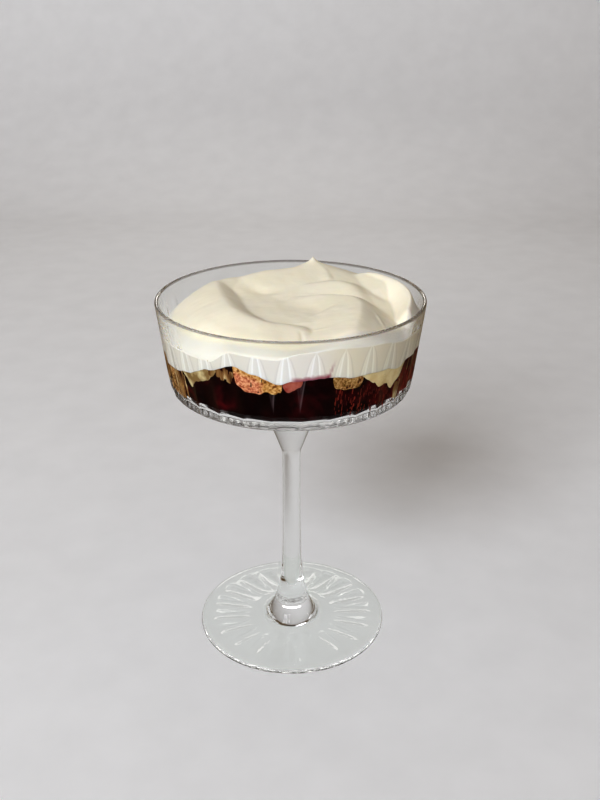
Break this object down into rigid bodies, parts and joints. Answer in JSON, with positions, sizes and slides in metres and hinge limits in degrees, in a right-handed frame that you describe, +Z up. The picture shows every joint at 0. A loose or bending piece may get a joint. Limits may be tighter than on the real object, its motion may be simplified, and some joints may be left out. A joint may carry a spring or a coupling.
{
  "type": "trifle",
  "caption": "Fruit trifle in a stemmed coupe of pressed clear glass: berry compote, sponge, custard and a spooned cap of whipped cream.",
  "frame": {"origin": "centre of the foot's underside, on the surface that the glass stands on", "axes": "+Z up along the glass's stem, -Y towards the front, +X to the right seen from the front"},
  "size_m": [0.102, 0.102, 0.154],
  "materials": {
    "clear_glass": "fire-polished, pressed",
    "compote": "wet, glossy berry compote",
    "custard": "smooth set custard",
    "sponge": "open crumb, damp",
    "fruit": "soft, wet fruit",
    "cream": "softly whipped, satin"
  },
  "bodies": {
    "root": {"glass": "clear_glass", "berry_compote": "compote", "custard": "custard", "sponge_front": "sponge", "sponge_right": "sponge", "sponge_side": "sponge", "sponge_back": "sponge", "sponge_back_left": "sponge", "sponge_left": "sponge", "fruit_piece": "fruit", "whipped_cream": "cream"}
  },
  "joints": []
}
